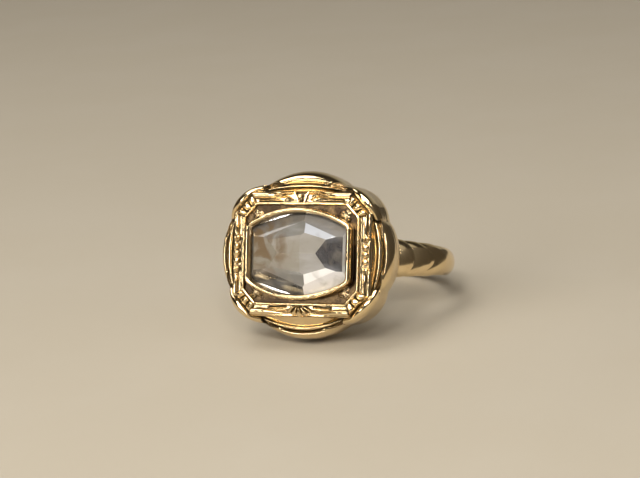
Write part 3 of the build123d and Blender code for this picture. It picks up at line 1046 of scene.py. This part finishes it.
def edgeLean(angle):
    # how far the carved lines run back at the sides, between one edge and the next
    edges = shankSizes["edges"]
    for (start, startLean), (end, endLean) in zip(edges, edges[1:]):
        if angle <= end:
            return startLean + (endLean - startLean) * max(angle - start, 0) / (end - start)
    return 0.0


def carvedHeight(angle):
    # each scale starts low behind the one before it and swells towards its own edge
    edges = [edge for edge, lean in shankSizes["edges"]]
    for start, end in zip(edges[1:], edges[2:]):
        if start < angle <= end:
            share = (angle - start) / (end - start)
            if end == edges[-1]:
                return shankSizes["step"] * 0.6 * (eased(share, -0.2, 1.0) - 1)
            return shankSizes["step"] * (min(1.0, share * 1.25) ** 0.6 - 1) + 0.04 * sin(pi * share)
    return 0.0


def shankPoint(angle, around, swell, sideSign):
    # a point round the band's D-section, at an angle round the finger from the head
    turn = 2 * pi * around
    folded = min(angle, 360 - angle)
    crownShare = cos(turn)
    place = folded - edgeLean(folded) * crownShare**2
    halfWidth = shankHalfWidth(place) + 0.35 * swell
    edge = shankSizes["edge"]
    if sin(turn) >= 0:
        radial = edge + (shankSizes["thickness"] + swell - edge) * sin(turn)
    else:
        radial = edge + edge * sin(turn)
    radius = head["fingerRadius"] + radial
    final = radians(place if angle <= 180 else 360 - place)
    height = -head["wireLevel"] + radius * cos(final)
    return Vector((sideSign * radius * sin(final), halfWidth * crownShare, height))


def tubeGrid(stations, sideSign, swellAt):
    # the band's section carried through a list of angles, closed at both ends
    rings = shankSizes["rings"]

    def place(share, around):
        i = round(share * (len(stations) - 1))
        return shankPoint(stations[i], round(around * rings) % rings / rings, swellAt(i), sideSign)

    return capped(bentGrid(len(stations) - 1, rings, place))


def shankBand():
    angles = [shankSizes["start"]] + [edge for edge, lean in shankSizes["edges"]][1:]
    half = []
    for start, end, count in zip(angles, angles[1:], shankSizes["stationCounts"]):
        start += shankSizes["stepGap"]
        half += [start + (end - start) * i / count for i in range(count + 1)]
    plain, count = angles[-1], shankSizes["plainStations"]
    half += [plain + (180 - plain) * i / count for i in range(1, count + 1)]
    stations = half + [360 - angle for angle in half[-2::-1]]
    return tubeGrid(stations, 1, lambda i: carvedHeight(min(stations[i], 360 - stations[i])))


collarSizes = {
    "start": 41,
    "end": 54.0,
    "stations": 40,
    "swell": 0.05,
    "swellFrom": 44,
    "edgeFall": 0.03,
    "lip": 0.28,
}


def collarBand(sideSign):
    # swells a little, then steps down to the first carved scale
    start, end, count = collarSizes["start"], collarSizes["end"], collarSizes["stations"]
    stations = [start + (end - start) * i / count for i in range(count + 1)] + [end]

    def swellAt(i):
        angle = stations[i]
        share = min(max((angle - collarSizes["swellFrom"]) / (end - collarSizes["swellFrom"]), 0), 1)
        swell = collarSizes["swell"] * sin(pi * share) - (collarSizes["lip"] if i > count else 0)
        return swell - collarSizes["edgeFall"] * eased(angle, end - 0.8, end)

    return tubeGrid(stations, sideSign, swellAt)


addPiece("shank", shankBand(), worn, sharpAngle=40)
for side, sideSign in (("right", 1), ("left", -1)):
    addPiece(f"shoulder_collar_{side}", collarBand(sideSign), worn, sharpAngle=40)

for node, material in (("face_plate", ground), ("foil_backing", foilMaterial), ("stone_seat", worn)):
    for materialSlot in frame["nodes"][node].material_slots:
        materialSlot.material = material
print("shank made")

stageSizes = {
    "floor": 3.0,
    "tone": (0.395, 0.355, 0.285, 1),
    "cloud": (0.42, 0.385, 0.325, 1),
    "roughness": 0.85,
}


def stagedMesh(name, bm, material):
    # something that stands round the ring, not part of it
    mesh = bpy.data.meshes.new(name)
    bm.to_mesh(mesh)
    bm.free()
    mesh.materials.append(material)
    staged = bpy.data.objects.new(name, mesh)
    bpy.context.collection.objects.link(staged)
    return staged


def floorFinish():
    finish = Finish("floorPale")
    cloud = finish.limited(finish.grain(60, detail=3), 0.35, 0.7)
    tone = finish.mixed(cloud * 0.25, stageSizes["tone"], stageSizes["cloud"])
    return finish.surface({"Base Color": tone, "Roughness": stageSizes["roughness"]})


floorBm = bmesh.new()
bmesh.ops.create_grid(floorBm, x_segments=2, y_segments=2, size=stageSizes["floor"] / 2)
stagedMesh("floor", floorBm, floorFinish())

world = bpy.data.worlds.new("studio")
bpy.context.scene.world = world
world.use_nodes = True
# a dim room in front of the ring, and a pale backdrop low behind it
roomTones = {
    "backdrop": (-0.1, 1.0, -0.7),
    "stops": ((0.2, (0.030, 0.026, 0.021)), (0.8, (0.34, 0.32, 0.27))),
}
room = NodeSheet(world.node_tree)
directions = {0: room.node("ShaderNodeTexCoord", output="Generated"), 1: roomTones["backdrop"]}
behind = room.node("ShaderNodeVectorMath", {"operation": "DOT_PRODUCT"}, directions, output="Value")
roomTone = room.node("ShaderNodeValToRGB", {"stops": roomTones["stops"]}, {"Fac": behind})
room.tree.links.new(roomTone.socket, room.tree.nodes["Background"].inputs["Color"])


def headDirection(across, along, out):
    return acrossAxis * across + fingerAxis * along + headNormal * out


# direction from the head, distance, size, power, and what the light shows on
everywhere, onlySurfaces, onlyReflections = (True, True), (True, False), (False, True)
lights = {
    "ceilingLight": (Vector((-0.15, 0.15, 1)), 1.10, 0.80, 3.9, onlySurfaces),
    "fillLight": (Vector((-0.50, -0.72, 0.48)), 0.50, 0.30, 1.6, onlySurfaces),
    "windowLight": (Vector((-0.42, -0.12, 0.90)), 0.50, 0.26, 0.85, everywhere),
    "lampOne": (headDirection(0.02, 0.36, 0.93), 0.30, 0.075, 0.42, everywhere),
    "lampTwo": (headDirection(0.34, 0.28, 0.90), 0.30, 0.060, 0.28, everywhere),
    "frontLight": (headDirection(-0.31, 0.03, 0.95), 0.32, 0.045, 0.10, everywhere),
    "doorLight": (headDirection(0.80, 0.40, 0.45), 0.32, 0.035, 0.06, everywhere),
    "roomLampNear": (Vector((0.30, -0.32, 0.90)), 0.30, 0.10, 0.45, onlyReflections),
    "roomLampFar": (Vector((0.58, -0.12, 0.80)), 0.30, 0.08, 0.25, onlyReflections),
    "sideGlow": (Vector((0.78, 0.0, 0.62)), 0.30, 0.16, 0.022, onlyReflections),
}
lightTone = (1, 0.95, 0.88)
for name, (direction, distance, size, power, (onSurfaces, inReflections)) in lights.items():
    data = bpy.data.lights.new(name, "AREA")
    data.shape = "DISK"
    data.size = size
    data.energy = power
    data.color = lightTone
    light = bpy.data.objects.new(name, data)
    bpy.context.collection.objects.link(light)
    light.location = headCentre + direction.normalized() * distance
    light.rotation_euler = direction.to_track_quat("Z", "Y").to_euler()
    light.visible_diffuse = onSurfaces
    light.visible_glossy = inReflections

# near and far: how far to the right and how high each long edge of the card is
cardSizes = {
    "near": (0.022, 0.0006),
    "far": (0.075, 0.045),
    "length": 0.24,
    "along": 0.01,
    "tones": ((0.020, 0.016, 0.012, 1), (0.035, 0.028, 0.02, 1)),
}


def addDarkCard():
    # a dark felt card leaning away on the ring's right, seen only in the polished gold
    bm = bmesh.new()
    bmesh.ops.create_grid(bm, x_segments=1, y_segments=1, size=0.5)
    for vert in bm.verts:
        across, height = cardSizes["far"] if vert.co.x > 0 else cardSizes["near"]
        vert.co = Vector((across, cardSizes["along"] + vert.co.y * cardSizes["length"], height))
    finish = Finish("cardDark")
    felt = finish.mixed(finish.grain(300, detail=3), *cardSizes["tones"])
    card = stagedMesh("darkCard", bm, finish.surface({"Base Color": felt, "Roughness": 0.9}))
    card.visible_camera = False
    card.visible_diffuse = False
    card.visible_shadow = False


addDarkCard()

viewSizes = {
    "azimuth": 18.2,
    "rise": -1.9,
    "roll": 1.4,
    "distance": 150.0,
    "focal": 105.5,
    "sensor": 36,
    "aim": (1.6, 1.19),
}


def addCamera():
    turn, rise, tip = (radians(viewSizes[key]) for key in ("azimuth", "rise", "roll"))
    towards = headDirection(sin(turn) * cos(rise), sin(rise), cos(turn) * cos(rise))
    level = fingerAxis.cross(towards).normalized()
    upward = towards.cross(level)
    right = level * cos(tip) + upward * sin(tip)
    upward = upward * cos(tip) - level * sin(tip)
    place = headCentre + towards * (viewSizes["distance"] * mm)
    aimRight, aimUp = viewSizes["aim"]
    aim = headCentre + right * (aimRight * mm) + upward * (aimUp * mm)
    back = (place - aim).normalized()
    right = upward.cross(back).normalized()
    upward = back.cross(right)
    data = bpy.data.cameras.new("camera")
    data.lens = viewSizes["focal"]
    data.sensor_width = viewSizes["sensor"]
    data.clip_start = 0.005
    data.clip_end = 20
    camera = bpy.data.objects.new("camera", data)
    bpy.context.collection.objects.link(camera)
    camera.matrix_world = Matrix.Translation(place) @ Matrix((right, upward, back)).transposed().to_4x4()
    bpy.context.scene.camera = camera


addCamera()
bpy.context.scene.view_settings.view_transform = "Standard"
print("stage set")
